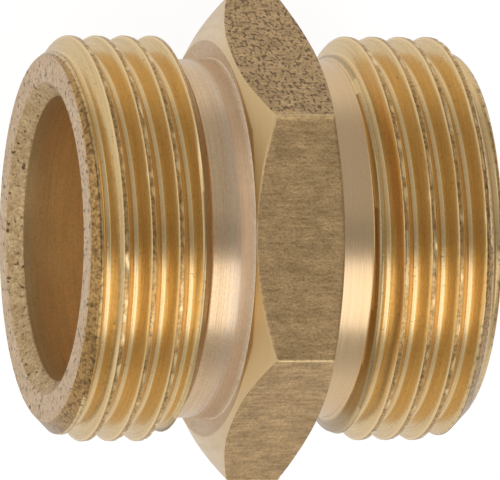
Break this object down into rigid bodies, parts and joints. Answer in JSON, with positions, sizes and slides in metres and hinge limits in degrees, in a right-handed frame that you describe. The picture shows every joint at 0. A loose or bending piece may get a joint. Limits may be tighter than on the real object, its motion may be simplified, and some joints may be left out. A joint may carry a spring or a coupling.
{
  "type": "hexagon double nipple",
  "caption": "Turned brass hexagon nipple with the same external pipe thread on both ends, plain necks, and a straight through bore with chamfered mouths.",
  "frame": {"origin": "on the bore axis, halfway between the two sealing faces", "axes": "+X along the bore axis towards the end with the longer threaded zone, +Z square to a hexagon flat, +Y towards a hexagon corner"},
  "size_m": [0.0346, 0.0398, 0.0346],
  "materials": {
    "brass": "satin turned brass, hexagon flats left as drawn and pitted"
  },
  "bodies": {
    "root": {"nipple_body": "brass"}
  },
  "joints": []
}
